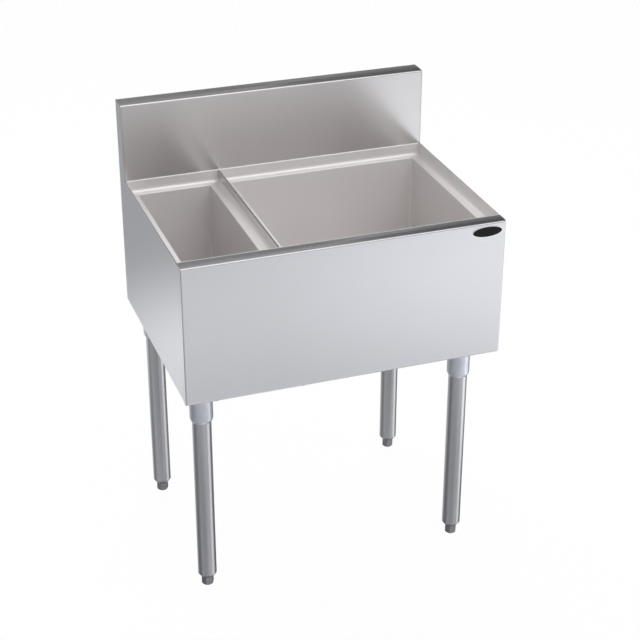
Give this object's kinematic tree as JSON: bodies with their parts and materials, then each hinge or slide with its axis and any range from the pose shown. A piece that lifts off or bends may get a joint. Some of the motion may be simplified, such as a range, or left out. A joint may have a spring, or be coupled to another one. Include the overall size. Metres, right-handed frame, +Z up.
{
  "type": "underbar ice bin",
  "caption": "Freestanding stainless underbar ice bin with a narrow and a wide insulated compartment, a backsplash and tubular legs on adjustable feet.",
  "frame": {"origin": "on the floor, under the middle of the body", "axes": "+X to the right of someone standing in front, +Y to the back, +Z up"},
  "size_m": [0.644, 0.4708, 0.923],
  "materials": {
    "satin_steel": "satin stainless sheet with a fine grain",
    "liner_steel": "satin stainless, drawn liner",
    "mill_steel": "dull mill finish stainless sheet",
    "tube_steel": "polished round tube, grain along the leg",
    "cast_metal": "smooth die casting, pale grey with a blue cast",
    "fastener_steel": "plain stainless fasteners",
    "drain_chrome": "chromed drain fitting",
    "brass": "plain brass locknut",
    "rubber": "black rubber gasket",
    "foam": "rigid foam insulation",
    "badge_enamel": "glossy black domed badge with a thin bright rim, bare"
  },
  "bodies": {
    "root": {"apron": "satin_steel", "left_side_panel": "satin_steel", "right_side_panel": "satin_steel", "backsplash": "satin_steel", "back_panel": "mill_steel", "bottom_pan": "mill_steel", "left_bin_liner": "liner_steel", "right_bin_liner": "liner_steel", "divider_cap": "satin_steel", "badge": "badge_enamel", "front_insulation": "foam", "back_insulation": "foam", "left_insulation": "foam", "right_insulation": "foam", "divider_insulation": "foam", "bottom_insulation": "foam", "left_leg_channel": "mill_steel", "right_leg_channel": "mill_steel", "front_left_socket": "cast_metal", "front_right_socket": "cast_metal", "rear_left_socket": "cast_metal", "rear_right_socket": "cast_metal", "front_left_leg": "tube_steel", "front_right_leg": "tube_steel", "rear_left_leg": "tube_steel", "rear_right_leg": "tube_steel", "front_left_leg_end": "tube_steel", "front_right_leg_end": "tube_steel", "rear_left_leg_end": "tube_steel", "rear_right_leg_end": "tube_steel", "socket_bolts": "fastener_steel", "socket_nuts": "fastener_steel", "socket_set_screws": "fastener_steel", "bottom_screws": "fastener_steel", "back_rivets": "fastener_steel", "left_drain_body": "drain_chrome", "right_drain_body": "drain_chrome", "left_strainer": "drain_chrome", "right_strainer": "drain_chrome", "left_drain_gasket": "rubber", "right_drain_gasket": "rubber", "left_drain_nut": "brass", "right_drain_nut": "brass"},
    "front_left_foot": {"front_left_foot": "tube_steel"},
    "front_right_foot": {"front_right_foot": "tube_steel"},
    "rear_left_foot": {"rear_left_foot": "tube_steel"},
    "rear_right_foot": {"rear_right_foot": "tube_steel"}
  },
  "joints": [
    {"name": "front_left_foot_height", "type": "slide", "parent": "root", "child": "front_left_foot", "axis": [0, 0, -1], "range_m": [0, 0.025]},
    {"name": "front_right_foot_height", "type": "slide", "parent": "root", "child": "front_right_foot", "axis": [0, 0, -1], "range_m": [0, 0.025]},
    {"name": "rear_left_foot_height", "type": "slide", "parent": "root", "child": "rear_left_foot", "axis": [0, 0, -1], "range_m": [0, 0.025]},
    {"name": "rear_right_foot_height", "type": "slide", "parent": "root", "child": "rear_right_foot", "axis": [0, 0, -1], "range_m": [0, 0.025]}
  ]
}
